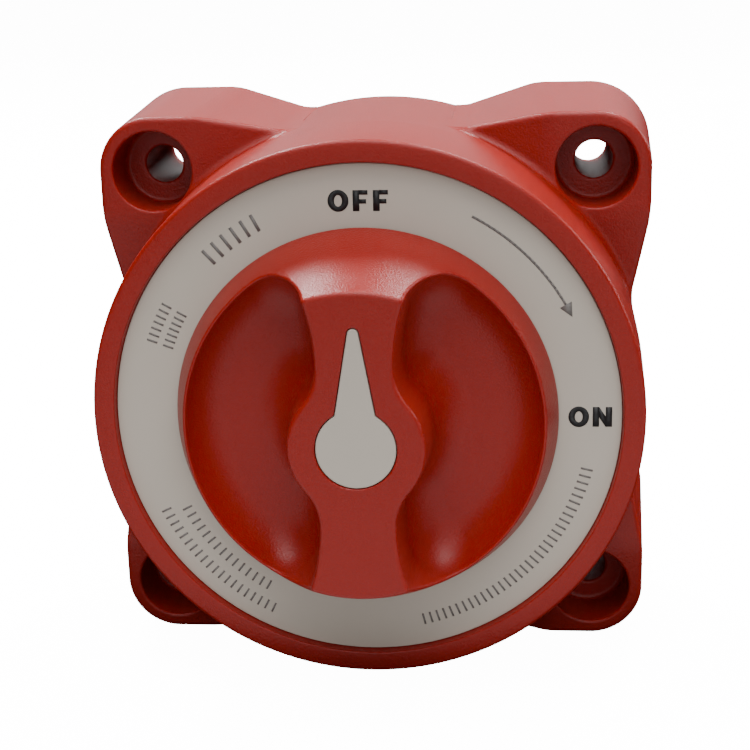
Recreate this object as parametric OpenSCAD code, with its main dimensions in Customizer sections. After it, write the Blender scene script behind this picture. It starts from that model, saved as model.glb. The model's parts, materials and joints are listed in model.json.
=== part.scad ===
// Marine rotary battery switch: one circuit, OFF with the pointer up and ON a quarter turn clockwise.
// The row frame has its origin in the middle of the rear mounting face, +Z up, the front facing -Y.
// Each sub-part is drawn lying on its back, with +Z towards the user, and in_frame() stands it up.

/* [Case] */
// Depth from the mounting face to the front of the rim
case_d = 54.2; // [54:0.1:55]
// Radius of the barrel at the front of the rim
rim_r = 45.7; // [45.5:0.1:46]
// Radius of the barrel at the front of the ears
barrel_mid_r = 46.6; // [46.5:0.1:47]
// Radius of the barrel at the mounting face
barrel_back_r = 47.3; // [47.2:0.1:47.6]
// Radius inside the barrel, round the cable terminals
chamber_r = 42.8; // [42.6:0.1:43]
// Radius inside the barrel, round the contacts
contact_room_r = 38.5; // [38.4:0.1:39]

/* [Mounting ears] */
// Spacing of the mounting holes, both ways
hole_pitch = 76.2; // [76:0.1:76.4]
// Radius of a mounting hole
hole_r = 3.3; // [3:0.1:3.5]
// Radius of the counterbore for a screw head
counterbore_r = 6.9; // [6.5:0.1:7]
// Depth of the counterbore
counterbore_d = 10; // [6:0.5:14]
// Height of the ears above the mounting face
ear_h = 33.8; // [32:0.2:36]
// Half width across the ears at their front
ear_front_half = 47.4; // [47:0.1:48]
// Half width across the ears at the mounting face
ear_back_half = 49.6; // [49:0.1:50]

/* [Dial label] */
// Radius of the label
label_r = 41.9; // [41.5:0.1:42]
// Depth of the label below the rim
label_drop = 1.4; // [1.2:0.1:1.8]
// Thickness of the label
label_t = 0.5; // [0.3:0.1:0.8]

/* [Knob] */
// Radius of the knob beside the label
knob_r = 31.7; // [31:0.1:32]
// Radius of the knob's flat face
knob_face_r = 24.8; // [24:0.1:26]
// How far the knob stands out of the rim
knob_proud = 16.5; // [16.5:0.1:18]
// Radius of the boss in the middle of the grip bar
grip_boss_r = 10.8; // [10.6:0.1:11]
// Radius of the outer wall of each finger scoop
scoop_r = 30.2; // [29:0.1:30.3]
// Radius of the pointer's disc
pointer_r = 6.3; // [6:0.1:6.4]
// Reach of the pointer's tip from the middle
pointer_reach = 19.3; // [19:0.1:21]

/* [Terminals] */
// Distance of each stud from the middle
stud_x = 20; // [19:0.5:21]
// Radius of the M10 studs
stud_r = 5; // [5:0.1:5]
// Width of a cable entry
entry_w = 26; // [24:0.5:26]
// Depth of a cable entry from the mounting face
entry_d = 20; // [16:0.5:20]

/* [Switching] */
// Angle between OFF and ON
turn = 90; // [90:1:90]
// Gap between the open contacts
contact_lift = 2; // [1.5:0.1:2]
// Radius of the rotor's shaft
shaft_r = 7; // [6.8:0.1:7]

/* [Hidden] */
$fn = 96;

// Colours
shell_red = [0.56, 0.11, 0.08];
label_grey = [0.68, 0.66, 0.60];
inside_black = [0.13, 0.13, 0.14];
rubber_black = [0.06, 0.06, 0.06];
copper = [0.72, 0.42, 0.27];
tinned = [0.74, 0.73, 0.70];
silver = [0.86, 0.86, 0.85];
steel = [0.66, 0.67, 0.69];

// Fits
running = 0.05;   // radial play of a shaft in its bore
slack = 0.2;      // play between pieces that only sit side by side
skin = 0.02;      // overlap that joins two solids of one piece
over = 1;         // how far a cutter runs past a face

// Heights above the mounting face
label_top = case_d - label_drop;
label_seat = label_top - label_t;
face_z = case_d + knob_proud;
wall_back = label_seat - 2.9;
base_top = 29;
base_back = 23;
ledge_z = base_top + 0.8;
hub_top = label_seat + 3.2;
hub_r = 8.8;

// Ears
hole_x = hole_pitch / 2;
barrel_mid_z = ear_h + 2;     // where the barrel's draft changes
web_front = [14.4, 44.3];     // where the ear's flank leaves the barrel, at the front and the back
web_back = [14.1, 45.1];
flat_front = 30.2;            // where the flank meets the straight side of the ear
flat_back = 28.1;
web_drop = 3;                 // how far the web's face falls back towards the barrel

// Base screws and their posts
screw_ring_r = 34.8;
post_r = 3.4;
screw_r = 2;
screw_len = 14;
screw_head = [4, 2.8];        // radius, height

// Rotor
pin_r = 4;
pin_foot = base_back + 1.4;
disc_z = [41.7, 44.9];
disc_r = 18;
cam_half = 11;
cam_corner_r = 12.6;
cam_z = [45.4, 48.5];
drive_w = 9.8;
drive_z = [hub_top + 0.1, 62];
tab_reach = 29;
tab_half = 3;
tab_angle = 135;
cheek = [2.5, 7.6, 8.3];      // thickness, width, height
knob_screw_r = 2.5;

// Detent springs
leaf_t = 0.6;
leaf_len = 40;
leaf_h = 2.7;
leaf_y = cam_half + running + leaf_t / 2;
leaf_z = 45.6;
leaf_post_x = 19;

// Contacts
bridge = [58, 14, 3];
bridge_z = 34.9;              // underside of the bridge with the switch OFF
tip_x = 25;
tip_r = 4;
tip_t = 0.7;
contact_t = 2.5;
contact_w = 15;
contact_x = [14.5, 31];
spring_r = 5.8;
spring_wire = 0.6;
spring_turns = 3.5;
ramp_r = [10.8, 14];
ramp_steps = 10;

// Studs and their hardware
stud_end = 4;
free_thread = 6.6;            // full-diameter length at the free end
shank_r = stud_r - 0.25;       // relieved behind the free end
head_w = 14;
head_t = 2.2;
rivet_r = 3;
seal = [7.5, 1.5];            // radius, thickness
washer = [10, 1.6];
lock_washer = [9, 2.2];
nut_flats = 17;
nut_t = 8;
washer_z = base_back - washer[1];
lock_z = washer_z - lock_washer[1];
nut_z = lock_z - nut_t;

// Rear cover and cable plates
cover_t = 2.5;
cover_r = chamber_r - 0.3;
groove_r = [43.9, 45.7];
groove_w = 3.2;               // how much wider the groove is than the entry

// Grip bar: the boss runs into the waist by a fillet, and the waist flares to the bar's ends
waist_half = 6;
waist_y = 12.9;
neck_r = 9;
flare_r = 50;
corner_r = 5.2;
scoop_floor = label_top + 1.9;
knob_back = label_top + slack;
pointer_t = 1.5;
pointer_gap = 0.25;
needle_half = 3.15;
needle_start = 5.4;
needle_tip_r = 0.85;

// Stands a sub-part up: +Z towards the user becomes -Y
module in_frame() { rotate([90, 0, 0]) children(); }

module at_ears() {
    for (x = [-hole_x, hole_x], y = [-hole_x, hole_x]) translate([x, y, 0]) children();
}

module at_base_screws() {
    for (a = [45:90:315]) rotate(a) translate([screw_ring_r, 0, 0]) children();
}

module at_studs() {
    for (x = [-stud_x, stud_x]) translate([x, 0, 0]) children();
}

module ring(outer, inner, height) {
    difference() {
        cylinder(r = outer, h = height);
        translate([0, 0, -over]) cylinder(r = inner, h = height + 2 * over);
    }
}

module box_at(size, z) {
    translate([-size[0] / 2, -size[1] / 2, z]) cube(size);
}

function arc(centre, r, from, to, steps) =
    [for (i = [0:steps]) let (a = from + (to - from) * i / steps) centre + r * [cos(a), sin(a)]];

// Solid that runs through a list of rings of points, closed by a cap at each end
module sweep(rings) {
    sides = len(rings[0]);
    last = len(rings) - 1;
    walls = [for (i = [0:last - 1], j = [0:sides - 1])
        let (k = i * sides, n = (j + 1) % sides) [k + j, k + sides + j, k + sides + n, k + n]];
    caps = [[for (j = [0:sides - 1]) j], [for (j = [sides - 1:-1:0]) last * sides + j]];
    polyhedron([for (points = rings) for (p = points) p], concat(walls, caps));
}

// ---- Housing ----

module barrel(grow = 0) {
    rotate_extrude() polygon([[0, 0], [barrel_back_r + grow, 0], [barrel_mid_r + grow, barrel_mid_z],
                              [rim_r + grow, case_d], [0, case_d]]);
}

// Outline of one ear at one height, with its corner round the hole
function ear_outline(half, flat, web, z) = [
    for (p = concat([[12, 12], web, [flat, half]],
                    arc([hole_x, hole_x], half - hole_x, 90, 0, 12),
                    [[half, flat], [web[1], web[0]]])) [p[0], p[1], z]];

module ear() {
    sweep([ear_outline(ear_front_half, flat_front, web_front, ear_h),
           ear_outline(ear_back_half, flat_back, web_back, 0)]);
}

// Cuts the face of a web so that it falls back from the ear towards the barrel
module web_cut() {
    run = flat_front - web_front[0];
    translate([0, flat_front, ear_h])
        rotate([atan(web_drop / run), 0, 0])
            translate([0, -2 * run, 0]) cube([2 * hole_x, 2 * run, 3 * web_drop]);
}

module drafted_ears() {
    for (a = [0:90:270]) rotate(a)
        difference() {
            ear();
            web_cut();
            mirror([1, -1, 0]) web_cut();
        }
}

module cable_entry(width, depth, groove) {
    translate([chamber_r - 4, -width / 2, -over]) cube([10, width, depth + over]);
    intersection() {
        translate([0, 0, -over]) ring(groove[1], groove[0], depth + over);
        translate([0, -width / 2 - groove_w / 2, -over])
            cube([2 * rim_r, width + groove_w, depth + over]);
    }
}

module at_entries() {
    for (a = [0, 180, 270]) rotate(a) children();
}

module screw_post() {
    height = wall_back - base_top + skin;
    difference() {
        union() {
            translate([0, 0, base_top]) cylinder(r = post_r, h = height);
            translate([0, -1.5, ledge_z]) cube([5, 3, wall_back - ledge_z + skin]);
        }
        translate([0, 0, base_top - over]) cylinder(r = screw_r + running, h = screw_len);
    }
}

module leaf_posts() {
    post = [4, 4.8, wall_back - leaf_z + 0.4 + skin];
    for (x = [-leaf_post_x, leaf_post_x], y = [-leaf_y, leaf_y])
        translate([x, y, 0]) difference() {
            box_at(post, leaf_z - 0.4);
            box_at([post[0] + 2, leaf_t + 0.1, leaf_h + 0.6], leaf_z - 0.5);
        }
}

// Two blocks that the rotor's tab meets at OFF and at ON
module stop_blocks() {
    size = [6, 5, wall_back - disc_z[0] - 0.2 + skin];
    side = tab_half + running;
    rotate(tab_angle) translate([24, side, disc_z[0] + 0.2]) cube(size);
    rotate(tab_angle - turn) translate([24, -side - size[1], disc_z[0] + 0.2]) cube(size);
}

module housing() {
    color(shell_red) in_frame() {
        difference() {
            union() {
                barrel();
                drafted_ears();
                cylinder(r = hub_r, h = hub_top);
            }
            translate([0, 0, label_seat])
                ring(label_r + running, hub_r, case_d);
            translate([0, 0, -over]) cylinder(r = chamber_r, h = ledge_z + over);
            translate([0, 0, ledge_z - over])
                cylinder(r = contact_room_r, h = wall_back - ledge_z + over);
            cylinder(r = shaft_r + running, h = hub_top + over);
            at_entries() cable_entry(entry_w, entry_d, groove_r);
            at_ears() {
                translate([0, 0, -over]) cylinder(r = hole_r, h = ear_h + over);
                translate([0, 0, ear_h - counterbore_d]) cylinder(r = counterbore_r, h = case_d);
            }
        }
        at_base_screws() screw_post();
        leaf_posts();
        stop_blocks();
    }
}

module dial_label() {
    color(label_grey) in_frame()
        translate([0, 0, label_seat]) ring(label_r, 27, label_t);
}

// ---- Contact base and terminals ----

// Two helical ramps that lift the bridge off the contacts as it turns to OFF
module cam_ramps() {
    lead = asin(bridge[1] / 2 / ramp_r[0]);
    foot = base_top - skin;
    rings = [for (i = [0:ramp_steps])
        let (a = lead + turn * i / ramp_steps,
             top = bridge_z - contact_lift * (1 - i / ramp_steps) - running)
            [for (p = [[ramp_r[0], foot], [ramp_r[1], foot], [ramp_r[1], top], [ramp_r[0], top]])
                [p[0] * cos(a), p[0] * sin(a), p[1]]]];
    for (half_turn = [0, 180]) rotate(half_turn) sweep(rings);
}

module contact_base() {
    color(inside_black) in_frame() {
        difference() {
            union() {
                translate([0, 0, base_back])
                    cylinder(r = chamber_r - slack, h = base_top - base_back);
                // barrier between the two terminals
                box_at([2, 36, base_back - 6 + skin], 6);
            }
            translate([0, 0, pin_foot - 0.2]) cylinder(r = pin_r + running, h = base_top - pin_foot + over);
            at_studs() {
                translate([0, 0, base_back - over]) cylinder(r = shank_r + 0.1, h = 6);
                translate([0, 0, base_back - over]) cylinder(r = seal[0] + 0.1, h = seal[1] + over);
                box_at([head_w + 0.1, head_w + 0.1, head_t + over], base_top - head_t);
            }
            at_base_screws() translate([0, 0, base_back - over])
                cylinder(r = screw_r + 0.2, h = base_top - base_back + 2 * over);
        }
        cam_ramps();
    }
}

module base_gasket() {
    color(rubber_black) in_frame()
        translate([0, 0, base_top]) ring(41.5, contact_room_r + 0.3, ledge_z - base_top);
}

module base_screws() {
    color(steel) in_frame() at_base_screws() {
        difference() {
            translate([0, 0, base_back - screw_head[1]]) cylinder(r = screw_head[0], h = screw_head[1]);
            box_at([6, 1, 1.2], base_back - screw_head[1] - skin);
            box_at([1, 6, 1.2], base_back - screw_head[1] - skin);
        }
        translate([0, 0, base_back - skin]) cylinder(r = screw_r, h = screw_len + skin);
    }
}

module stud() {
    difference() {
        union() {
            translate([0, 0, stud_end]) cylinder(r = stud_r, h = free_thread);
            translate([0, 0, stud_end]) cylinder(r = shank_r, h = base_top - head_t - stud_end + skin);
            box_at([head_w, head_w, head_t], base_top - head_t);
            translate([0, 0, base_top - skin]) cylinder(r = rivet_r, h = contact_t + skin);
        }
        // chamfer at the stud's end
        translate([0, 0, stud_end - skin]) difference() {
            cylinder(r = stud_r + over, h = 1);
            cylinder(r1 = stud_r - 1, r2 = stud_r, h = 1);
        }
    }
}

module battery_stud() {
    color(tinned) in_frame() translate([-stud_x, 0, 0]) stud();
}

module load_stud() {
    color(tinned) in_frame() translate([stud_x, 0, 0]) stud();
}

module stud_seals() {
    color(rubber_black) in_frame() at_studs()
        translate([0, 0, base_back]) ring(seal[0], shank_r + running, seal[1]);
}

module stud_washers() {
    color(steel) in_frame() at_studs()
        translate([0, 0, washer_z]) ring(washer[0], stud_r + 0.25, washer[1]);
}

module stud_lock_washers() {
    split = 1.2;
    color(steel) in_frame() at_studs()
        difference() {
            translate([0, 0, lock_z]) ring(lock_washer[0], stud_r + 0.15, lock_washer[1]);
            translate([0, -split / 2, lock_z - over])
                cube([lock_washer[0] + over, split, lock_washer[1] + 2 * over]);
        }
}

module stud_nuts() {
    color(steel) in_frame() at_studs()
        difference() {
            intersection() {
                translate([0, 0, nut_z]) cylinder(d = nut_flats / cos(30), h = nut_t, $fn = 6);
                // corners bevelled at both ends
                union() {
                    translate([0, 0, nut_z])
                        cylinder(r1 = nut_flats / 2, r2 = nut_flats / 2 + nut_t, h = nut_t / 2 + skin);
                    translate([0, 0, nut_z + nut_t / 2])
                        cylinder(r1 = nut_flats / 2 + nut_t, r2 = nut_flats / 2, h = nut_t / 2);
                }
            }
            translate([0, 0, nut_z - over]) cylinder(r = shank_r + running, h = nut_t + 2 * over);
        }
}

module fixed_contact() {
    difference() {
        translate([contact_x[0], -contact_w / 2, base_top])
            cube([contact_x[1] - contact_x[0], contact_w, contact_t]);
        translate([stud_x, 0, base_top - over]) cylinder(r = rivet_r + running, h = contact_t + 2 * over);
    }
}

module battery_contact() {
    color(copper) in_frame() rotate(180) fixed_contact();
}

module load_contact() {
    color(copper) in_frame() fixed_contact();
}

module tip_pair(z) {
    for (x = [-tip_x, tip_x]) translate([x, 0, z]) cylinder(r = tip_r, h = tip_t);
}

module fixed_tips() {
    color(silver) in_frame() tip_pair(base_top + contact_t);
}

module detent_springs() {
    color(steel) in_frame()
        for (y = [-leaf_y, leaf_y]) translate([0, y, 0]) box_at([leaf_len, leaf_t, leaf_h], leaf_z);
}

// ---- Rotor ----

module rotor_shaft() {
    pocket = [spring_r - 1.1, spring_r + 1.1];
    color(inside_black) in_frame() difference() {
        union() {
            translate([0, 0, pin_foot]) cylinder(r = pin_r, h = disc_z[1] - pin_foot);
            translate([0, 0, disc_z[0]]) cylinder(r = disc_r, h = disc_z[1] - disc_z[0]);
            // tab that meets the stops
            rotate(tab_angle) translate([0, -tab_half, disc_z[0]])
                cube([tab_reach, 2 * tab_half, disc_z[1] - disc_z[0]]);
            // cheeks that carry the bridge round
            for (side = [-1, 1]) translate([side * (bridge[1] / 2 + 0.06 + cheek[0] / 2), 0, 0])
                box_at([cheek[0], cheek[1], cheek[2] + skin], disc_z[0] - cheek[2]);
            // square cam for the detent, with rounded corners
            translate([0, 0, disc_z[1] - skin]) cylinder(r = 10, h = cam_z[0] - disc_z[1] + 2 * skin);
            intersection() {
                box_at([2 * cam_half, 2 * cam_half, cam_z[1] - cam_z[0]], cam_z[0]);
                translate([0, 0, cam_z[0]]) cylinder(r = cam_corner_r, h = cam_z[1] - cam_z[0]);
            }
            translate([0, 0, cam_z[1] - skin]) cylinder(r = shaft_r, h = drive_z[0] - cam_z[1] + skin);
            box_at([drive_w, drive_w, drive_z[1] - drive_z[0] + skin], drive_z[0] - skin);
        }
        translate([0, 0, disc_z[0] - over]) ring(pocket[1], pocket[0], 2.3 + over);
        translate([0, 0, 50.3]) ring(shaft_r + over, shaft_r - 1.85, 2);
        translate([0, 0, 50]) cylinder(r = knob_screw_r + running, h = drive_z[1] - 50 + over);
    }
}

module thrust_washer() {
    color(tinned) in_frame()
        translate([0, 0, cam_z[1] + 0.05]) ring(11.5, shaft_r + 0.1, wall_back - cam_z[1] - 0.15);
}

module shaft_seal() {
    cord = 0.9;
    color(rubber_black) in_frame()
        translate([0, 0, 51.3]) rotate_extrude() translate([shaft_r - cord, 0]) circle(r = cord, $fn = 32);
}

module knob_screw() {
    color(steel) in_frame() difference() {
        union() {
            translate([0, 0, 64.5]) cylinder(r = 4.5, h = 4);
            translate([0, 0, 52.5]) cylinder(r = knob_screw_r, h = 12 + skin);
        }
        translate([0, 0, 66.5]) cylinder(r = 2.3, h = 3, $fn = 6);
    }
}

// ---- Moving contact ----

module contact_bridge() {
    color(copper) in_frame() rotate(90) difference() {
        intersection() {
            box_at(bridge, bridge_z);
            translate([0, 0, bridge_z]) cylinder(r = bridge[0] / 2, h = bridge[2]);
        }
        translate([0, 0, bridge_z - over]) cylinder(r = pin_r + 0.1, h = bridge[2] + 2 * over);
    }
}

module bridge_tips() {
    color(silver) in_frame() rotate(90) tip_pair(bridge_z - tip_t);
}

// Coil of round wire
module coil(r, wire, bottom, rise, turns, per_turn = 20, sides = 8) {
    sweep([for (i = [0:turns * per_turn])
        let (a = 360 * i / per_turn, z = bottom + rise * i / per_turn)
            [for (j = [0:sides - 1])
                let (b = 360 * j / sides, reach = r + wire * cos(b))
                    [reach * cos(a), reach * sin(a), z + wire * sin(b)]]]);
}

module contact_spring() {
    bottom = bridge_z + bridge[2] + spring_wire;
    top = disc_z[0] + 2.3 - spring_wire - 0.05;
    color(steel) in_frame()
        coil(spring_r, spring_wire, bottom, (top - bottom) / spring_turns, spring_turns);
}

// ---- Knob ----

// Right-hand edge of the grip bar, from the middle of the boss up to the end of the bar
function grip_edge() = let (
        neck_x = waist_half + neck_r,
        neck_y = sqrt(pow(grip_boss_r + neck_r, 2) - pow(neck_x, 2)),
        boss_a = atan2(neck_y, neck_x))
    concat(arc([0, 0], grip_boss_r, 0, boss_a, 6),
           arc([neck_x, neck_y], neck_r, 180 + boss_a, 180, 8),
           arc([waist_half + flare_r, neck_y], flare_r, 180 - 2, 180 - 9, 4));

// One finger scoop: bounded by the grip bar, the outer wall and a round corner at each end
module scoop_outline() {
    corner_d = scoop_r - corner_r;
    corner_x = waist_half + 1 + corner_r;
    corner_y = sqrt(pow(corner_d, 2) - pow(corner_x, 2));
    wall_a = atan2(corner_y, corner_x);
    edge = [for (p = grip_edge()) if (p[1] < corner_y) p];
    upper = concat(edge,
                   arc([corner_x, corner_y], corner_r, 180, wall_a, 10),
                   arc([0, 0], scoop_r, wall_a - 3, 0, 16));
    polygon(upper);
    mirror([0, 1]) polygon(upper);
}

module knob_dome() {
    // a gently swelling cone, cut flat at the face
    bulge = 0.3;
    rise = face_z - knob_back;
    steps = 8;
    side = [for (i = [0:steps]) let (t = i / steps)
        [knob_r + (knob_face_r - knob_r) * t + bulge * 4 * t * (1 - t), knob_back + rise * t]];
    rotate_extrude() polygon(concat([[0, knob_back]], side, [[0, face_z]]));
}

module pointer_outline(grow = 0) {
    circle(r = pointer_r + grow);
    tip_y = pointer_reach - needle_tip_r;
    polygon([[-needle_half - grow, 0], [needle_half + grow, 0], [needle_half + grow, needle_start],
             [needle_tip_r + grow, tip_y], [-needle_tip_r - grow, tip_y],
             [-needle_half - grow, needle_start]]);
    translate([0, tip_y]) circle(r = needle_tip_r + grow, $fn = 32);
}

module knob() {
    color(shell_red) in_frame() difference() {
        knob_dome();
        for (a = [0, 180]) rotate(a)
            translate([0, 0, scoop_floor]) linear_extrude(face_z) scoop_outline();
        // recess over the housing's hub
        translate([0, 0, knob_back - over]) cylinder(r = hub_r + 0.5, h = hub_top + 0.3 - knob_back + over);
        // square drive and screw
        box_at([drive_w + 0.1, drive_w + 0.1, drive_z[1] + 0.3 - hub_top], hub_top);
        translate([0, 0, hub_top]) cylinder(r = knob_screw_r + 0.1, h = face_z - hub_top);
        translate([0, 0, 64.5]) cylinder(r = 4.6, h = face_z - 64.5);
        // recess for the pointer
        translate([0, 0, face_z - pointer_t - 0.1])
            linear_extrude(pointer_t + over) pointer_outline(pointer_gap);
    }
}

module pointer_insert() {
    color(label_grey) in_frame()
        translate([0, 0, face_z - pointer_t - 0.1]) linear_extrude(pointer_t) pointer_outline();
}

// ---- Rear cover and cable plates ----

module rear_cover() {
    tab = [1.5, 9, 8.5];
    color(shell_red) in_frame() {
        difference() {
            cylinder(r = cover_r, h = cover_t);
            // pry notch at the top
            translate([0, cover_r + 1.5, -over]) cylinder(r = 4, h = cover_t + 2 * over);
        }
        for (a = [45:90:315]) rotate(a) intersection() {
            translate([cover_r - tab[0] - 1, -tab[1] / 2, cover_t - skin]) cube([tab[0] + 2, tab[1], tab[2]]);
            translate([0, 0, cover_t - skin]) ring(cover_r, cover_r - tab[0], tab[2]);
        }
    }
}

module cable_plate() {
    width = entry_w - 2 * slack;
    depth = entry_d - 2 * slack;
    intersection() {
        difference() {
            barrel(-0.02);
            translate([0, 0, -over]) cylinder(r = chamber_r + 0.1, h = case_d);
        }
        translate([0, -width / 2, 0]) cube([2 * rim_r, width, depth]);
    }
    intersection() {
        ring(groove_r[1] - slack, groove_r[0] + slack, depth);
        translate([0, -entry_w / 2 - groove_w / 2 + slack, 0])
            cube([2 * rim_r, entry_w + groove_w - 2 * slack, depth]);
    }
}

module cable_plate_left() {
    color(shell_red) in_frame() rotate(180) cable_plate();
}

module cable_plate_right() {
    color(shell_red) in_frame() cable_plate();
}

module cable_plate_bottom() {
    color(shell_red) in_frame() rotate(270) cable_plate();
}

housing();
dial_label();
contact_base();
base_gasket();
base_screws();
battery_stud();
load_stud();
stud_seals();
stud_washers();
stud_lock_washers();
stud_nuts();
battery_contact();
load_contact();
fixed_tips();
detent_springs();
rotor_shaft();
thrust_washer();
shaft_seal();
contact_spring();
contact_bridge();
bridge_tips();
knob();
knob_screw();
pointer_insert();
rear_cover();
cable_plate_left();
cable_plate_right();
cable_plate_bottom();
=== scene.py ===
"""Marine rotary battery switch: the detailed pieces, materials, lights and camera round the CAD frame.

Shapes are written in millimetres in the part's own drawing frame: X right, Y up, Z from the mounting
face towards the user. place() turns that into the row frame in metres, where the front faces -Y.
"""
import json
import math

import bmesh
import bpy
import numpy as np
from mathutils import Matrix, Vector


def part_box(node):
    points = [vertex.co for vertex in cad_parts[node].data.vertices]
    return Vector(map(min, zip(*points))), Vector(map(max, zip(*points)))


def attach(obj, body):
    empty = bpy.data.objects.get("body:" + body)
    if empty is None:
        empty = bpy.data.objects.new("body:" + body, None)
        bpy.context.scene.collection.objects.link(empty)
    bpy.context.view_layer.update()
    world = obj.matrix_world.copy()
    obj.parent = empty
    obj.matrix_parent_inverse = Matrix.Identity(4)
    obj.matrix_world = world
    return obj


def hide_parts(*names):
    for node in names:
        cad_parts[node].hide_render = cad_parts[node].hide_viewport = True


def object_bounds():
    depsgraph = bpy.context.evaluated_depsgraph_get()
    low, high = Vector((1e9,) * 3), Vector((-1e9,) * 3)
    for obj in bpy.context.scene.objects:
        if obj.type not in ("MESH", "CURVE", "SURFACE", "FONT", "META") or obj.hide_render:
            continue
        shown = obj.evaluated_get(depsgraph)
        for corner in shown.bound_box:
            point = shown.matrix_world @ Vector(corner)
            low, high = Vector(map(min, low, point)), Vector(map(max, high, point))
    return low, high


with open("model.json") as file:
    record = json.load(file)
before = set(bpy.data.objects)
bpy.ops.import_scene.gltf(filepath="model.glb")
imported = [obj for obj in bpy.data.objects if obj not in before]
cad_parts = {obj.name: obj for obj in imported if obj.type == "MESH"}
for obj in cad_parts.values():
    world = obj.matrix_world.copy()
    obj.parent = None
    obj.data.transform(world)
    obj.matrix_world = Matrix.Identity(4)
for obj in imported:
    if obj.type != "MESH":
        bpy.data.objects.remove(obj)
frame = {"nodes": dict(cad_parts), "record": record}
cad_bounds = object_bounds()

MM = 0.001


# ---------------------------------------------------------------- dimensions (mm)

def depth_range(node):
    """Lowest and highest distance of a CAD node from the mounting face."""
    low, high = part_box(node)
    return -high.y / MM, -low.y / MM


def half_width(node):
    low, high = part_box(node)
    return (high.x - low.x) / 2 / MM


KNOB_BACK, KNOB_FACE = depth_range("knob")
KNOB_R = half_width("knob")
LABEL_SEAT, LABEL_TOP = depth_range("dial_label")
LABEL_R = half_width("dial_label")
POINTER_BACK, POINTER_TOP = depth_range("pointer_insert")
EAR_BACK_HALF = half_width("housing")
HUB_TOP = depth_range("housing")[1]

CASE_DEPTH = LABEL_TOP + 1.4
RIM_R, BARREL_MID_R, BARREL_BACK_R = 45.7, 46.6, 47.3
EAR_HEIGHT = 33.8
BARREL_MID_Z = EAR_HEIGHT + 2
EAR_FRONT_HALF = 47.4
FLAT_FRONT, FLAT_BACK = 30.2, 28.1
WEB_FRONT, WEB_BACK = (14.4, 44.3), (14.1, 45.1)
WEB_DROP = 3.0
HOLE_X, HOLE_R = 38.1, 3.3
COUNTERBORE_R, COUNTERBORE_Z = 6.9, EAR_HEIGHT - 10
CHAMBER_R, CONTACT_ROOM_R = 42.8, 38.5
LEDGE_Z, WALL_BACK = 29.8, LABEL_SEAT - 2.9
HUB_R, SHAFT_BORE_R = 8.8, 7.05
ENTRY_W, ENTRY_D = 26.0, 20.0
GROOVE_R, GROOVE_W = (43.9, 45.7), 3.2
PATCH_BACK = 0.03    # the ears end this far above the mounting face, so they share no plane with the barrel

KNOB_FACE_R = 24.8
DOME_BULGE = 0.3
BOSS_R, WAIST_HALF, NECK_R, FLARE_R = 10.8, 6.0, 9.0, 32.0
SCOOP_R, SCOOP_CORNER_R = 30.1, 5.2
SCOOP_X, SCOOP_Y = 0.25, 0.5
SCOOP_FLOOR = LABEL_TOP + 1.9
POINTER_R, NEEDLE_HALF, NEEDLE_TIP_R = 6.3, 3.15, 0.85
NEEDLE_TIP_Y = 19.3 - NEEDLE_TIP_R


# ---------------------------------------------------------------- mesh helpers

def place(points):
    """Drawing frame in millimetres to row frame in metres."""
    p = np.asarray(points, float).reshape(-1, 3) * MM
    return np.stack([p[:, 0], -p[:, 2], p[:, 1]], axis=1)


def make_object(name, points, faces, normals=None):
    mesh = bpy.data.meshes.new(name)
    mesh.from_pydata(place(points).tolist(), [], faces)
    mesh.validate()
    mesh.polygons.foreach_set("use_smooth", [True] * len(mesh.polygons))
    if normals is not None:
        n = np.asarray(normals, float)
        mesh.normals_split_custom_set_from_vertices(np.stack([n[:, 0], -n[:, 2], n[:, 1]], 1).tolist())
    obj = bpy.data.objects.new(name, mesh)
    bpy.context.scene.collection.objects.link(obj)
    return obj


def finish(obj, material, body, slot, *nodes):
    """Gives a piece its material and the body it rides on, and hides the CAD nodes it stands for. Its slot
    is not used.
    """
    obj.data.materials.clear()
    obj.data.materials.append(material)
    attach(obj, body)
    if nodes:
        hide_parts(*nodes)
    return obj


def rounded(corners, steps=5):
    """Closed outline through (a, b, radius) corners, each rounded by an arc of its radius."""
    out = []
    pts = [Vector(c[:2]) for c in corners]
    for i, (p, corner) in enumerate(zip(pts, corners)):
        r = corner[2]
        if r <= 0:
            out.append(tuple(p))
            continue
        a = (pts[i - 1] - p).normalized()
        b = (pts[(i + 1) % len(pts)] - p).normalized()
        half = a.angle(b) / 2
        centre = p + (a + b).normalized() * (r / math.sin(half))
        start = p + a * (r / math.tan(half)) - centre
        end = p + b * (r / math.tan(half)) - centre
        sweep = start.angle_signed(end)
        for k in range(steps + 1):
            t = -sweep * k / steps
            c, s = math.cos(t), math.sin(t)
            out.append((centre.x + start.x * c - start.y * s, centre.y + start.x * s + start.y * c))
    return out


def revolve(profile, segments=160):
    """Closed (radius, z) outline turned about the axis. Returns points and faces."""
    n = len(profile)
    angles = [2 * math.pi * k / segments for k in range(segments)]
    points = [(r * math.cos(a), r * math.sin(a), z) for a in angles for r, z in profile]
    faces = []
    for k in range(segments):
        a, b = k * n, (k + 1) % segments * n
        for i in range(n):
            j = (i + 1) % n
            faces.append((a + i, a + j, b + j, b + i))
    return points, faces


def arc(centre, r, start, end, steps):
    """Points along an arc between two angles in degrees."""
    out = []
    for i in range(steps + 1):
        a = math.radians(start + (end - start) * i / steps)
        out.append((centre[0] + r * math.cos(a), centre[1] + r * math.sin(a)))
    return out


def prism(outline, low, high, top=None):
    """Solid between two heights with a closed anticlockwise outline, which may differ at its top."""
    n = len(outline)
    points = [(x, y, low) for x, y in outline] + [(x, y, high) for x, y in top or outline]
    sides = [(i, (i + 1) % n, n + (i + 1) % n, n + i) for i in range(n)]
    return points, [tuple(range(n))[::-1], tuple(range(n, 2 * n))] + sides


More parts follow.
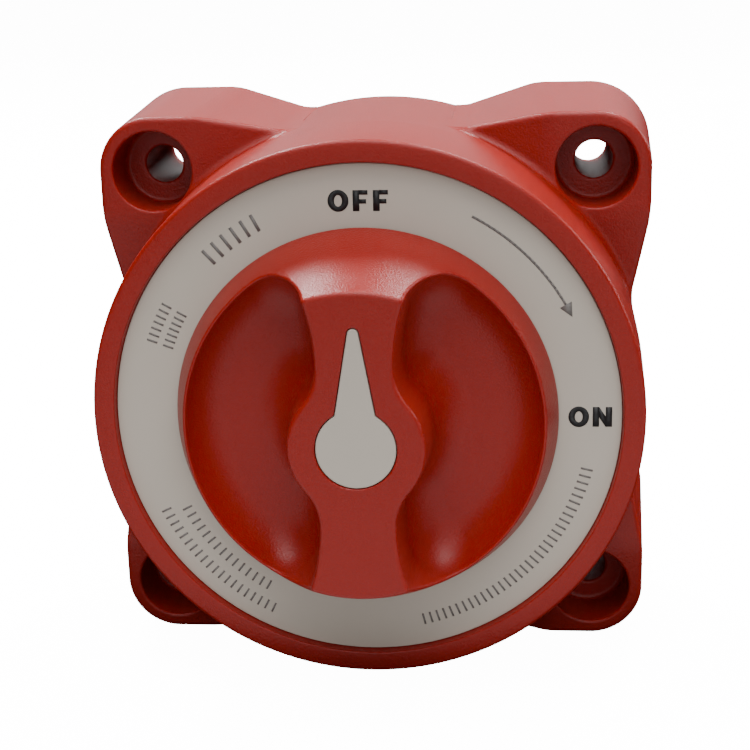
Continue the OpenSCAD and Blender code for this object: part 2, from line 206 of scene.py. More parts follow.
def join_parts(parts):
    """Puts several (points, faces) into one."""
    points, faces = [], []
    for p, f in parts:
        base = len(points)
        points += [tuple(q) for q in p]
        faces += [tuple(base + i for i in face) for face in f]
    return points, faces


def moved(part, dx=0.0, turn=0.0):
    """A part turned about the axis and then moved sideways."""
    c, s = math.cos(turn), math.sin(turn)
    points, faces = part
    return [(x * c - y * s + dx, x * s + y * c, z) for x, y, z in points], faces


# ---------------------------------------------------------------- shapes from distance fields

def round_both(a, b, r):
    """Where two solids overlap, with the edge between them rounded to radius r."""
    return np.minimum(np.maximum(a, b), -r) + np.hypot(np.maximum(a + r, 0), np.maximum(b + r, 0))


def round_either(a, b, r):
    """Two solids joined, with a fillet of radius r in the corner between them."""
    return np.maximum(np.minimum(a, b), r) - np.hypot(np.maximum(r - a, 0), np.maximum(r - b, 0))


def outline_distance(x, y, outline):
    """Signed distance to a closed outline, negative inside."""
    shape = np.broadcast(x, y).shape
    px = np.broadcast_to(x, shape).ravel()
    py = np.broadcast_to(y, shape).ravel()
    best = np.full(px.shape, np.inf)
    inside = np.zeros(px.shape, bool)
    for (ax, ay), (bx, by) in zip(outline, outline[1:] + outline[:1]):
        ex, ey = bx - ax, by - ay
        length = ex * ex + ey * ey
        if length < 1e-12:
            continue
        t = np.clip(((px - ax) * ex + (py - ay) * ey) / length, 0, 1)
        best = np.minimum(best, (px - ax - t * ex) ** 2 + (py - ay - t * ey) ** 2)
        if ey != 0:
            crosses = (ay > py) != (by > py)
            inside ^= crosses & (px < ax + (py - ay) * ex / ey)
    distance = np.sqrt(best)
    return np.where(inside, -distance, distance).reshape(shape)


def surface_of(field, low, high, cell):
    """Quad mesh of the surface where field(x, y, z) is 0: one point in each cell that it crosses."""
    counts = [int(math.ceil((h - l) / cell)) + 1 for l, h in zip(low, high)]
    axes = [l + cell * np.arange(n) for l, n in zip(low, counts)]
    values = field(axes[0][:, None, None], axes[1][None, :, None], axes[2][None, None, :])
    values = np.broadcast_to(values, counts)
    inside = values < 0
    cells = tuple(n - 1 for n in counts)
    total = np.zeros(cells + (3,))
    hits = np.zeros(cells)
    crossed = []
    for axis in range(3):
        lo = [slice(None)] * 3
        hi = [slice(None)] * 3
        lo[axis], hi[axis] = slice(0, -1), slice(1, None)
        a, b = values[tuple(lo)], values[tuple(hi)]
        index = np.argwhere(inside[tuple(lo)] != inside[tuple(hi)])
        va, vb = a[tuple(index.T)], b[tuple(index.T)]
        spot = index.astype(float)
        spot[:, axis] += va / (va - vb)
        u, v = (axis + 1) % 3, (axis + 2) % 3
        around = []
        for du, dv in ((0, 0), (-1, 0), (-1, -1), (0, -1)):
            corner = index.copy()
            corner[:, u] += du
            corner[:, v] += dv
            around.append(corner)
            np.add.at(total, tuple(corner.T), spot)
            np.add.at(hits, tuple(corner.T), 1)
        crossed.append((around, va < 0))
    used = np.argwhere(hits > 0)
    number = np.full(cells, -1)
    number[tuple(used.T)] = np.arange(len(used))
    points = np.array(low) + cell * total[tuple(used.T)] / hits[tuple(used.T)][:, None]
    faces = []
    for around, outward in crossed:
        quads = np.stack([number[tuple(c.T)] for c in around], axis=1)
        quads[~outward] = quads[~outward][:, ::-1]
        faces += quads.tolist()
    return points, faces


def slope_of(field, p, step=0.02):
    """Gradient of a field at a list of points."""
    out = np.empty_like(p)
    for axis in range(3):
        d = np.zeros(3)
        d[axis] = step
        a, b = p + d, p - d
        out[:, axis] = (field(a[:, 0], a[:, 1], a[:, 2]) - field(b[:, 0], b[:, 1], b[:, 2])) / (2 * step)
    return out


def settle_on(field, points, reach):
    """Moves points onto the surface of the field and returns them with their normals."""
    p = points.copy()
    for _ in range(3):
        g = slope_of(field, p)
        size = np.maximum((g * g).sum(1), 0.25)
        move = g * (field(p[:, 0], p[:, 1], p[:, 2]) / size)[:, None]
        length = np.linalg.norm(move, axis=1)
        p -= move * np.minimum(1, reach / np.maximum(length, 1e-9))[:, None]
    g = slope_of(field, p)
    return p, g / np.maximum(np.linalg.norm(g, axis=1), 1e-9)[:, None]


def solid_from(field, low, high, cell):
    """Points, faces and normals of a solid given by a distance field."""
    points, faces = surface_of(field, low, high, cell)
    points, normals = settle_on(field, points, cell / 2)
    return points, faces, normals


# ---------------------------------------------------------------- housing

FLANK_ROUND, CREASE_ROUND, EAR_EDGE_ROUND, EAR_FILLET = 0.5, 0.3, 0.9, 1.3
COUNTERBORE_FILLET, HOLE_EDGE_ROUND, COUNTERBORE_EDGE_ROUND, BACK_EDGE_ROUND = 0.8, 0.4, 0.45, 0.5
PATCH_SINK = 0.04      # the ear's share of the barrel lies this far under the barrel's own skin
PATCH_REACH = 1.6      # how far from the ear its share of the barrel goes on
PATCH_INNER_R = 44.6
EAR_BLOCK = (5, 5, -1), (50.6, 50.6, 37)
EAR_CELL = 0.36


def barrel_radius(z):
    """The barrel's outer radius at a height: a slight draft that steepens in front of the ears."""
    return np.where(z < BARREL_MID_Z,
                    BARREL_BACK_R + (BARREL_MID_R - BARREL_BACK_R) * z / BARREL_MID_Z,
                    BARREL_MID_R + (RIM_R - BARREL_MID_R) * (z - BARREL_MID_Z) / (CASE_DEPTH - BARREL_MID_Z))


def ear_field(x, y, z):
    """One ear in the upper right corner, blended into the barrel."""
    up = np.clip(z / EAR_HEIGHT, 0, 1)
    half = EAR_BACK_HALF + (EAR_FRONT_HALF - EAR_BACK_HALF) * up
    flat = FLAT_BACK + (FLAT_FRONT - FLAT_BACK) * up
    web_a = WEB_BACK[0] + (WEB_FRONT[0] - WEB_BACK[0]) * up
    web_b = WEB_BACK[1] + (WEB_FRONT[1] - WEB_BACK[1]) * up
    length = np.hypot(flat - web_a, half - web_b)

    def flank(a, b):
        return ((b - web_b) * (flat - web_a) - (a - web_a) * (half - web_b)) / length

    corner = np.hypot(np.maximum(x - HOLE_X, 0), np.maximum(y - HOLE_X, 0)) - (half - HOLE_X)
    plan = round_both(round_both(corner, flank(x, y), FLANK_ROUND), flank(y, x), FLANK_ROUND)
    slope = WEB_DROP / (FLAT_FRONT - WEB_FRONT[0])
    face = z - EAR_HEIGHT
    front = round_both(face, (face + (FLAT_FRONT - y) * slope) / math.hypot(1, slope), CREASE_ROUND)
    front = round_both(front, (face + (FLAT_FRONT - x) * slope) / math.hypot(1, slope), CREASE_ROUND)
    ear = round_both(plan, front, EAR_EDGE_ROUND)
    r = np.hypot(x, y)
    barrel = r - barrel_radius(z) + PATCH_SINK
    joined = round_either(ear, barrel, EAR_FILLET)
    hole = np.hypot(x - HOLE_X, y - HOLE_X)
    counterbore = round_both(hole - COUNTERBORE_R, COUNTERBORE_Z - z, COUNTERBORE_FILLET)
    bore = round_either(counterbore, hole - HOLE_R, HOLE_EDGE_ROUND)
    joined = round_both(joined, -bore, COUNTERBORE_EDGE_ROUND)
    joined = round_both(joined, PATCH_BACK - z, BACK_EDGE_ROUND)
    entry = np.maximum(np.minimum(np.abs(x), np.abs(y)) - ENTRY_W / 2 - 0.1, z - ENTRY_D)
    joined = np.maximum(np.maximum(joined, ear - PATCH_REACH), -entry)
    return np.maximum(joined, PATCH_INNER_R - r)


def housing_profile():
    """Half section of the barrel, its rim, the label seat, the hub and the rooms inside."""
    return rounded([
        (CHAMBER_R, 0, 0.3), (BARREL_BACK_R, 0, 0.4), (BARREL_MID_R, BARREL_MID_Z, 8),
        (RIM_R, CASE_DEPTH, 0.8), (LABEL_R + 0.25, CASE_DEPTH, 0.3), (LABEL_R + 0.05, LABEL_SEAT, 0.1),
        (HUB_R, LABEL_SEAT, 0.2), (HUB_R, HUB_TOP, 0.3), (SHAFT_BORE_R, HUB_TOP, 0.2),
        (SHAFT_BORE_R, WALL_BACK, 0.2), (CONTACT_ROOM_R, WALL_BACK, 1.0), (CONTACT_ROOM_R, LEDGE_Z, 0.2),
        (CHAMBER_R, LEDGE_Z, 0.2)])


def box_mesh(low, high):
    x0, y0, z0 = low
    x1, y1, z1 = high
    points = [(x, y, z) for z in (z0, z1) for y in (y0, y1) for x in (x0, x1)]
    return points, [(0, 2, 3, 1), (4, 5, 7, 6), (0, 1, 5, 4), (2, 6, 7, 3), (0, 4, 6, 2), (1, 3, 7, 5)]


def cut(obj, cutter):
    """Takes the cutter's shape out of obj."""
    tool = obj.modifiers.new("cut", "BOOLEAN")
    tool.operation = "DIFFERENCE"
    tool.solver = "EXACT"
    tool.object = cutter
    bpy.context.view_layer.objects.active = obj
    with bpy.context.temp_override(object=obj, active_object=obj, selected_objects=[obj]):
        bpy.ops.object.modifier_apply(modifier=tool.name)
    bpy.data.objects.remove(cutter)


def build_housing(material):
    """The turned barrel with its cable entries cut out, and one ear in each corner."""
    shell = make_object("housing_shell", *revolve(housing_profile(), 192))
    slot_box = box_mesh((CHAMBER_R - 4, -ENTRY_W / 2, -1), (BARREL_BACK_R + 3, ENTRY_W / 2, ENTRY_D))
    half_groove = (ENTRY_W + GROOVE_W) / 2
    groove = arc((0, 0), GROOVE_R[1], -19.6, 19.6, 12) + arc((0, 0), GROOVE_R[0], 19.6, -19.6, 12)
    groove_box = prism([(x, max(-half_groove, min(half_groove, y))) for x, y in groove], -1, ENTRY_D - 0.01)
    for cutter in (slot_box, groove_box):
        cutters = join_parts([moved(cutter, turn=math.radians(a)) for a in (0, 180, 270)])
        cut(shell, make_object("entry_cutter", *cutters))
    mark_sharp(shell)
    finish(shell, material, "case", "shell", "housing")

    points, faces, normals = solid_from(ear_field, *EAR_BLOCK, EAR_CELL)
    for name, quarter in (("upper_right", 0), ("upper_left", 1), ("lower_left", 2), ("lower_right", 3)):
        turn = quarter * math.pi / 2
        spot, _ = moved((points, faces), turn=turn)
        facing, _ = moved((normals, faces), turn=turn)
        ear = make_object("ear_" + name, spot, faces, facing)
        finish(ear, material, "case", "shell")


def mark_sharp(obj, degrees=35):
    """Edges sharper than this keep a hard line in the shading."""
    bm = bmesh.new()
    bm.from_mesh(obj.data)
    limit = math.radians(degrees)
    for edge in bm.edges:
        edge.smooth = len(edge.link_faces) == 2 and edge.calc_face_angle(0) < limit
    for face in bm.faces:
        face.smooth = True
    bm.to_mesh(obj.data)
    bm.free()


# ---------------------------------------------------------------- knob and pointer

def beside_bar():
    """Everything to the right of the grip bar, with the boss, the necks and the flares as its edge."""
    neck_x = WAIST_HALF + NECK_R
    neck_y = math.sqrt((BOSS_R + NECK_R) ** 2 - neck_x ** 2)
    boss_angle = math.degrees(math.atan2(neck_y, neck_x))
    upper = (arc((0, 0), BOSS_R, 0, boss_angle, 10)
             + arc((neck_x, neck_y), NECK_R, 180 + boss_angle, 180, 12)[1:]
             + arc((WAIST_HALF + FLARE_R, neck_y), FLARE_R, 178, 140, 16))
    far = 2 * KNOB_R
    lower = [(x, -y) for x, y in reversed(upper[1:])]
    return upper + [(far, upper[-1][1]), (far, -upper[-1][1])] + lower


def pointer_outline():
    """A disc with a tapered needle that ends in a small round tip."""
    half_gap = math.degrees(math.asin(NEEDLE_HALF / POINTER_R))
    disc = arc((0, 0), POINTER_R, 90 + half_gap, 450 - half_gap, 64)
    return disc + arc((0, NEEDLE_TIP_Y), NEEDLE_TIP_R, 5, 175, 12)


BESIDE_BAR = beside_bar()
POINTER = pointer_outline()
POINTER_GAP = 0.12
SCOOP_DRAFT = math.tan(math.radians(5))
SCOOP_FILLET, SCOOP_EDGE_ROUND = 6.0, 0.7
CORNER_GROWTH = 0.3    # how much the scoop's corner radius grows for each millimetre down
FACE_EDGE_ROUND, BASE_EDGE_ROUND, RECESS_EDGE_ROUND = 0.45, 0.3, 0.15
HUB_PLAY = 0.5, 0.3    # room round and over the housing's hub
KNOB_CELL = 0.3


def dome_field(r, z):
    """The knob's turned outside, with its base and face edges slightly rounded."""
    rise = KNOB_FACE - KNOB_BACK
    t = np.clip((z - KNOB_BACK) / rise, -0.2, 1.2)
    side = KNOB_R + (KNOB_FACE_R - KNOB_R) * t + DOME_BULGE * 4 * t * (1 - t)
    lean = (KNOB_R - KNOB_FACE_R) / rise
    wall = (r - side) / math.hypot(1, lean)
    return round_both(round_both(wall, z - KNOB_FACE, FACE_EDGE_ROUND), KNOB_BACK - z, BASE_EDGE_ROUND)


def knob_field(x, y, z):
    """The dome less the two finger scoops, the pointer's recess and the room for the hub."""
    r = np.hypot(x, y)
    depth = np.clip(KNOB_FACE - z, 0, None)
    rim = np.hypot(x - SCOOP_X, y - SCOOP_Y) - SCOOP_R
    corner_r = SCOOP_CORNER_R + CORNER_GROWTH * depth
    plan = round_both(outline_distance(np.abs(x), y, BESIDE_BAR), rim, corner_r)
    wall = plan + depth * SCOOP_DRAFT
    scoop = round_both(wall, SCOOP_FLOOR - z, SCOOP_FILLET)
    body = round_both(dome_field(r, z), -scoop, SCOOP_EDGE_ROUND)
    recess = np.maximum(outline_distance(x, y, POINTER) - POINTER_GAP, POINTER_BACK - z)
    body = round_both(body, -recess, RECESS_EDGE_ROUND)
    hub_room = np.maximum(r - HUB_R - HUB_PLAY[0], z - HUB_TOP - HUB_PLAY[1])
    return np.maximum(body, -hub_room)


def build_knob(material):
    reach = KNOB_R + 0.6
    points, faces, normals = solid_from(
        knob_field, (-reach, -reach, KNOB_BACK - 0.5), (reach, reach, KNOB_FACE + 0.6), KNOB_CELL)
    knob = make_object("knob_detail", points, faces, normals)
    finish(knob, material, "rotor", "shell", "knob")


def pointer_field(x, y, z):
    plan = outline_distance(x, y, POINTER)
    return round_both(round_both(plan, z - POINTER_TOP, 0.2), POINTER_BACK - z, 0.1)


def build_pointer(material):
    points, faces, normals = solid_from(
        pointer_field, (-7, -7, POINTER_BACK - 0.4), (7, 20.6, POINTER_TOP + 0.4), 0.18)
    pointer = make_object("pointer_detail", points, faces, normals)
    finish(pointer, material, "rotor", "label", "pointer_insert")


# ---------------------------------------------------------------- dial label

LABEL_INNER_R = 27
PRINT_THICKNESS = 0.03
LETTER_HEIGHT, LETTER_STEM, LETTER_BAR = 3.35, 1.05, 0.72
O_HALF_W, O_HALF_H, O_SIDE, O_CAP = 1.68, LETTER_HEIGHT / 2 + 0.08, 1.05, 0.82
ARROW_R, ARROW_HALF = 37.6, 1.1


def build_label(material):
    profile = rounded([(LABEL_INNER_R, LABEL_TOP, 0), (LABEL_R, LABEL_TOP, 0.15),
                       (LABEL_R, LABEL_SEAT, 0), (LABEL_INNER_R, LABEL_SEAT, 0)])
    label = make_object("dial_label_detail", *revolve(profile, 192))
    mark_sharp(label, 60)
    finish(label, material, "case", "label", "dial_label")


def slab(outline):
    """A convex patch of print on the label."""
    return prism(outline, LABEL_TOP - 0.02, LABEL_TOP + PRINT_THICKNESS)


def bar(x0, y0, x1, y1):
    return slab([(x0, y0), (x1, y0), (x1, y1), (x0, y1)])


def letter_o(x, y, steps=40):
    """Upright ring centred at (x, y), thicker at its flanks than at its top and bottom."""
    def oval(half_w, half_h, t):
        return x + half_w * math.cos(t), y + half_h * math.sin(t)

    inner = O_HALF_W - O_SIDE, O_HALF_H - O_CAP
    outer = O_HALF_W, O_HALF_H
    turn = [2 * math.pi * i / steps for i in range(steps + 1)]
    return [slab([oval(*inner, a), oval(*outer, a), oval(*outer, b), oval(*inner, b)])
            for a, b in zip(turn, turn[1:])]


def letter_f(x, y):
    """Block F, its lower left corner at (x, y)."""
    stem, width, top = LETTER_STEM, 2.4, LETTER_HEIGHT
    return [bar(x, y, x + stem, y + top),
            bar(x + stem, y + top - LETTER_BAR, x + width, y + top),
            bar(x + stem, y + 1.2, x + width - 0.25, y + 1.2 + LETTER_BAR)]


def letter_n(x, y):
    """Block N, its lower left corner at (x, y)."""
    stem, width, top = LETTER_STEM, 3.15, LETTER_HEIGHT
    return [bar(x, y, x + stem, y + top), bar(x + width - stem, y, x + width, y + top),
            slab([(x + stem, y + top), (x + stem, y + top - 1.75), (x + width - stem, y),
                  (x + width - stem, y + 1.75)])]


def ticks(start, end, count, r_in, r_out, width=0.34):
    """Short radial marks evenly spaced between two angles in degrees."""
    parts = []
    for i in range(count):
        a = math.radians(start + (end - start) * i / (count - 1))
        c, s = math.cos(a), math.sin(a)
        parts.append(slab([(r * c - w * s, r * s + w * c)
                           for r, w in ((r_in, width / 2), (r_in, -width / 2),
                                        (r_out, -width / 2), (r_out, width / 2))]))
    return parts


def polar(r, t):
    return r * math.cos(t), r * math.sin(t)


def turn_arrow(start, neck, tip, width=0.4, steps=20):
    """Line along an arc from one angle to another, with an arrowhead that ends at a third."""
    inner, outer = ARROW_R - width / 2, ARROW_R + width / 2
    spot = [math.radians(start + (neck - start) * i / steps) for i in range(steps + 1)]
    line = [slab([polar(inner, b), polar(inner, a), polar(outer, a), polar(outer, b)])
            for a, b in zip(spot, spot[1:])]
    head = slab([polar(ARROW_R, math.radians(tip)), polar(ARROW_R + ARROW_HALF, spot[-1]),
                 polar(ARROW_R - ARROW_HALF, spot[-1])])
    return line + [head]


def build_dial_marks(black, grey):
    """OFF and ON, and plain scale marks where the dial carries its small print."""
    off_y, on_y = 34.2, -1.65
    middle = LETTER_HEIGHT / 2
    words = (letter_o(-3.65, off_y + middle) + letter_f(-1.3, off_y) + letter_f(1.95, off_y)
             + letter_o(34.85, on_y + middle) + letter_n(37.1, on_y))
    finish(make_object("dial_words", *join_parts(words)), black, "case", "moulding")
    scale = (turn_arrow(62, 30, 26.5)
             + ticks(-76, -14, 34, 36.4, 38.4)
             + ticks(206, 244, 20, 37.6, 39.4) + ticks(208, 240, 15, 34.2, 36.0)
             + ticks(118, 133, 6, 35.2, 38.2, 0.55)
             + ticks(150, 160, 7, 36.6, 38.4) + ticks(150, 160, 7, 33.8, 35.6))
    finish(make_object("dial_scale", *join_parts(scale)), grey, "case", "moulding")


# ---------------------------------------------------------------- hardware, cover and base

STUD_X, STUD_R, STUD_END = 20, 5.0, 4.0
RELIEF_Z, RELIEF = 10.6, 0.25          # above this height the stud is this much smaller in radius
THREAD_PITCH, THREAD_DEPTH, THREAD_TOP, THREAD_FADE = 1.5, 0.8, 21.0, 1.5
HEAD_W, HEAD_BACK, HEAD_TOP = 14, 26.8, 29.0
RIVET_R, RIVET_LEN = 3.0, 2.5
STUD_CELL = 0.22

PANEL_R, PANEL_DEPTH = (10.5, 37.5), 0.6
HALF_RIB, PANELS = 1.1, 8
PANEL_GROW = 0.58, -0.35               # under the cover's face and at the panel's floor, for drafted walls
COVER_CHAMFER = 0.4

# Widest bevel in mm. Very short edges hold it back: the nuts and the base stay almost sharp.
SOFT_EDGES = {"stud_nuts": 0.3, "stud_washers": 0.2, "stud_lock_washers": 0.2, "base_screws": 0.2,
              "contact_base": 0.25, "knob_screw": 0.2, "battery_contact": 0.25, "load_contact": 0.25,
              "contact_bridge": 0.25, "cable_plate_left": 0.15, "cable_plate_right": 0.15,
              "cable_plate_bottom": 0.15}


def stud_field(x, y, z):
    """Threaded stud: chamfered end, square head, and the rivet that holds the contact plate."""
    r = np.hypot(x, y)
    along = z / THREAD_PITCH - np.arctan2(y, x) / (2 * math.pi)
    crest = np.where(z < RELIEF_Z, STUD_R, STUD_R - RELIEF)
    ridge = np.abs(along - np.floor(along) - 0.5)
    groove = np.clip(ridge * 2.4 - 0.2, 0, 1) * THREAD_DEPTH
    groove = groove * np.clip((THREAD_TOP - z) / THREAD_FADE, 0, 1)
    thread = np.maximum((r - crest + groove) * 0.75, r - (z - STUD_END) - (STUD_R - 1.1))
    shank = round_both(np.maximum(thread, z - HEAD_TOP), STUD_END - z, 0.15)
    square = round_both(np.abs(x) - HEAD_W / 2, np.abs(y) - HEAD_W / 2, 0.8)
    head = round_both(square, np.abs(z - (HEAD_BACK + HEAD_TOP) / 2) - (HEAD_TOP - HEAD_BACK) / 2, 0.25)
    rivet = round_both(r - RIVET_R, np.maximum(z - HEAD_TOP - RIVET_LEN, HEAD_BACK - z), 0.2)
    return np.minimum(np.minimum(shank, head), rivet)


def build_studs(material):
    points, faces, normals = solid_from(
        stud_field, (-7.4, -7.4, STUD_END - 0.4), (7.4, 7.4, HEAD_TOP + 2.9), STUD_CELL)
    for name, side in (("battery_stud", -1), ("load_stud", 1)):
        spot, _ = moved((points, faces), dx=side * STUD_X)
        stud = make_object(name + "_detail", spot, faces, normals)
        finish(stud, material, "case", "tinned", name)


def welded(obj):
    """The object's mesh as one closed skin of flat faces, ready to edit."""
    bm = bmesh.new()
    bm.from_mesh(obj.data)
    bmesh.ops.remove_doubles(bm, verts=bm.verts, dist=1e-6)
    bmesh.ops.dissolve_limit(bm, angle_limit=math.radians(0.5), verts=bm.verts, edges=bm.edges)
    return bm


def soften(obj, width):
    """Breaks the sharp edges with a small round, up to the given width in mm where there is room."""
    bm = welded(obj)
    limit = math.radians(30)
    sharp = [e for e in bm.edges if len(e.link_faces) == 2 and e.calc_face_angle(0) > limit]
    bmesh.ops.bevel(bm, geom=sharp, offset=width * MM, offset_type="OFFSET", segments=2, profile=0.5,
                    affect="EDGES", clamp_overlap=True)
    bmesh.ops.triangulate(bm, faces=[f for f in bm.faces if len(f.verts) > 4])
    bm.to_mesh(obj.data)
    bm.free()
    mark_sharp(obj, 40)


def copy_of(node):
    """A new object with the CAD node's shape."""
    obj = bpy.data.objects.new(node + "_detail", frame["nodes"][node].data.copy())
    bpy.context.scene.collection.objects.link(obj)
    return obj


def build_hardware():
    """The pieces whose CAD shape is right, with their edges broken where there is room."""
    for node, width in SOFT_EDGES.items():
        piece = copy_of(node)
        soften(piece, width)
        finish(piece, SLOT_MATERIAL[node_slot[node]], node_body[node], node_slot[node], node)


def cover_panel(middle, grow):
    """Outline of the panel between two ribs, widened all round by grow."""
    outer, inner, half_rib = PANEL_R[1] + grow, PANEL_R[0] - grow, HALF_RIB - grow
    spread_out = 180 / PANELS - math.degrees(half_rib / outer)
    spread_in = 180 / PANELS - math.degrees(half_rib / inner)
    return (arc((0, 0), outer, middle - spread_out, middle + spread_out, 14)
            + arc((0, 0), inner, middle + spread_in, middle - spread_in, 6))


def build_rear_cover(material):
    """The cover with shallow drafted panels between a rim, a hub and eight ribs."""
    cover = copy_of("rear_cover")
    bm = welded(cover)
    bm.to_mesh(cover.data)
    bm.free()
    edge, reach = half_width("rear_cover"), 0.5
    chamfer = revolve([(edge - reach, COVER_CHAMFER - reach), (edge + reach, COVER_CHAMFER - reach),
                       (edge + reach, COVER_CHAMFER + reach)])
    cut(cover, make_object("chamfer_cutter", *chamfer))
    panels = []
    for k in range(PANELS):
        middle = (k + 0.5) * 360 / PANELS
        mouth, floor = (cover_panel(middle, grow) for grow in PANEL_GROW)
        panels.append(prism(mouth, -1, PANEL_DEPTH, floor))
    cut(cover, make_object("panel_cutter", *join_parts(panels)))
    mark_sharp(cover, 25)
    finish(cover, material, "rear_cover", "shell", "rear_cover")


# ---------------------------------------------------------------- materials

TONE_CHANGE, TONE_SCALE = 0.04, 60            # how far the colour drifts, and its patches per metre
GRAIN_DEPTH = 0.08                            # mm
GLOW_RADIUS, GLOW_DEPTH = (1, 0.12, 0.06), 1.2    # red light goes deepest into the plastic


def node_material(name, color, roughness, metallic=0.0, grain=0.0, grain_size=0.3, glow=0.0,
                  gloss_level=0.5):
    """Principled material with fine moulded or brushed grain and a slight change of tone."""
    material = bpy.data.materials.new(name)
    material.use_nodes = True
    tree = material.node_tree
    shader = tree.nodes["Principled BSDF"]
    shader.inputs["Metallic"].default_value = metallic
    shader.inputs["Specular IOR Level"].default_value = gloss_level
    shader.inputs["Subsurface Weight"].default_value = glow
    shader.inputs["Subsurface Radius"].default_value = GLOW_RADIUS
    shader.inputs["Subsurface Scale"].default_value = GLOW_DEPTH * MM
    where = tree.nodes.new("ShaderNodeTexCoord")

    patches = tree.nodes.new("ShaderNodeTexNoise")
    patches.inputs["Scale"].default_value = TONE_SCALE
    patches.inputs["Detail"].default_value = 4
    tree.links.new(where.outputs["Object"], patches.inputs["Vector"])
    tone = tree.nodes.new("ShaderNodeMixRGB")
    tone.inputs[1].default_value = (*[c * (1 - TONE_CHANGE) for c in color], 1)
    tone.inputs[2].default_value = (*[min(1, c * (1 + TONE_CHANGE)) for c in color], 1)
    tree.links.new(patches.outputs["Fac"], tone.inputs[0])
    tree.links.new(tone.outputs[0], shader.inputs["Base Color"])

    fine = tree.nodes.new("ShaderNodeTexNoise")
    fine.inputs["Scale"].default_value = 1 / (grain_size * MM)
    fine.inputs["Detail"].default_value = 2
    tree.links.new(where.outputs["Object"], fine.inputs["Vector"])
    gloss = tree.nodes.new("ShaderNodeMapRange")
    gloss.inputs["To Min"].default_value = roughness * 0.9
    gloss.inputs["To Max"].default_value = roughness * 1.1
    tree.links.new(fine.outputs["Fac"], gloss.inputs["Value"])
    tree.links.new(gloss.outputs["Result"], shader.inputs["Roughness"])
    if grain:
        bump = tree.nodes.new("ShaderNodeBump")
        bump.inputs["Strength"].default_value = grain
        bump.inputs["Distance"].default_value = GRAIN_DEPTH * MM
        tree.links.new(fine.outputs["Fac"], bump.inputs["Height"])
        tree.links.new(bump.outputs["Normal"], shader.inputs["Normal"])
    return material


red_plastic = node_material("red_plastic", (0.30, 0.012, 0.007), 0.36, grain=0.9, grain_size=0.32,
                            glow=0.4, gloss_level=0.32)
label_plastic = node_material("label_plastic", (0.52, 0.465, 0.395), 0.5, grain=0.1, grain_size=0.2)
black_plastic = node_material("black_moulding", (0.02, 0.02, 0.021), 0.5, grain=0.3)
black_rubber = node_material("black_rubber", (0.012, 0.012, 0.012), 0.7, grain=0.4)
steel = node_material("steel", (0.55, 0.56, 0.57), 0.3, metallic=1, grain=0.06)
tinned = node_material("tinned_copper", (0.66, 0.65, 0.62), 0.38, metallic=1, grain=0.06)
copper = node_material("copper", (0.72, 0.36, 0.22), 0.33, metallic=1, grain=0.06)
print_black = node_material("print_black", (0.008, 0.008, 0.009), 0.55)
print_grey = node_material("print_grey", (0.17, 0.155, 0.145), 0.5)
silver = node_material("silver", (0.86, 0.86, 0.84), 0.28, metallic=1, grain=0.05)

SLOT_MATERIAL = {"shell": red_plastic, "label": label_plastic, "moulding": black_plastic,
                 "rubber": black_rubber, "steel": steel, "tinned": tinned, "copper": copper,
                 "silver": silver}

node_slot = {s["node"]: s["material_slot"] for s in frame["record"]["subparts"]}
node_body = {node: body for body, nodes in frame["record"]["behaviour"]["bodies"].items() for node in nodes}

build_housing(red_plastic)
build_knob(red_plastic)
build_pointer(label_plastic)
build_label(label_plastic)
build_dial_marks(print_black, print_grey)
build_studs(tinned)
build_hardware()
build_rear_cover(red_plastic)

for name, node in frame["nodes"].items():
    node.data.materials.clear()
    node.data.materials.append(SLOT_MATERIAL[node_slot[name]])


# ---------------------------------------------------------------- floor, lights, camera

def build_stage():
    """Pale floor, bright enough to read as white paper. It isn't mirrored in the plastic."""
    floor_z = cad_bounds[0][2]
    bpy.ops.mesh.primitive_plane_add(size=8, location=(0, 0, floor_z - 0.0002))
    floor = bpy.context.object
    floor.name = "floor"
    material = bpy.data.materials.new("floor")
    material.use_nodes = True
    shader = material.node_tree.nodes["Principled BSDF"]
    shader.inputs["Base Color"].default_value = (0.9, 0.9, 0.9, 1)
    shader.inputs["Roughness"].default_value = 0.9
    shader.inputs["Emission Color"].default_value = (1, 1, 1, 1)
    shader.inputs["Emission Strength"].default_value = 14
    floor.data.materials.append(material)
    floor.visible_glossy = False
    floor.visible_diffuse = False


def area_light(name, spot, target, size, power):
    data = bpy.data.lights.new(name, "AREA")
    data.shape = "RECTANGLE"
    data.size, data.size_y = size
    data.energy = power
    lamp = bpy.data.objects.new(name, data)
    bpy.context.scene.collection.objects.link(lamp)
    lamp.location = spot
    lamp.rotation_euler = (Vector(target) - Vector(spot)).to_track_quat("-Z", "Y").to_euler()
    lamp.visible_camera = False


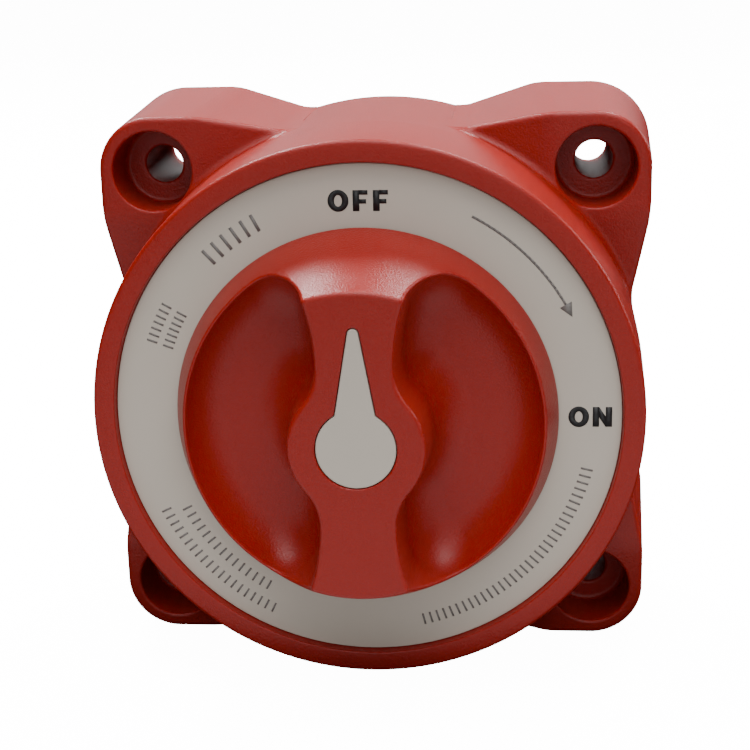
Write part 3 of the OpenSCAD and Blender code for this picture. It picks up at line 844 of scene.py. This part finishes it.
def build_lights():
    """Soft lights above, behind and in front. The world is white, and only the camera sees it."""
    area_light("back_panel", (0, 1.3, 0.6), (0, 0, 0), (2.4, 0.9), 6.5)
    area_light("overhead_softbox", (0, -0.3, 1.2), (0, 0, 0), (1.2, 0.8), 18)
    area_light("back_left_softbox", (-0.52, 0.55, 1.0), (0, 0, 0), (0.3, 0.3), 16)
    area_light("back_right_softbox", (0.36, 0.52, 1.1), (0, 0, 0), (0.3, 0.3), 11)
    area_light("right_softbox", (0.9, 0.3, 0.4), (0, 0, 0), (0.5, 0.5), 5)
    area_light("front_fill", (0.15, -1.0, 0.85), (0, 0, 0), (1.3, 0.8), 6.5)
    area_light("low_fill", (0.1, -1.3, 0.15), (0, 0, 0), (1.2, 0.5), 2.2)
    area_light("table_bounce", (0.04, -0.202, -0.045), (0.04, -0.202, 1), (0.6, 0.27), 0.52)
    world = bpy.data.worlds.new("studio")
    bpy.context.scene.world = world
    world.use_nodes = True
    back = world.node_tree.nodes["Background"]
    back.inputs["Color"].default_value = (1, 1, 1, 1)
    back.inputs["Strength"].default_value = 14
    world.cycles_visibility.diffuse = False
    world.cycles_visibility.glossy = False


def build_camera():
    """The photograph's view, from a little above and to the right."""
    pitch, yaw, roll = math.radians(15.714), math.radians(5.461), math.radians(-1.389)
    forward = Vector((-math.sin(yaw) * math.cos(pitch), math.cos(yaw) * math.cos(pitch), -math.sin(pitch)))
    level = Vector((math.cos(yaw), math.sin(yaw), 0))
    upright = level.cross(forward)
    right = level * math.cos(roll) + upright * math.sin(roll)
    up = upright * math.cos(roll) - level * math.sin(roll)
    data = bpy.data.cameras.new("camera")
    data.sensor_width = 36
    data.lens = 73.62
    data.clip_start = 0.01
    camera = bpy.data.objects.new("camera", data)
    bpy.context.scene.collection.objects.link(camera)
    turn = Matrix((right, up, -forward)).transposed().to_4x4()
    camera.matrix_world = Matrix.Translation((0.02465, -0.29394, 0.07521)) @ turn
    bpy.context.scene.camera = camera


build_stage()
build_lights()
build_camera()
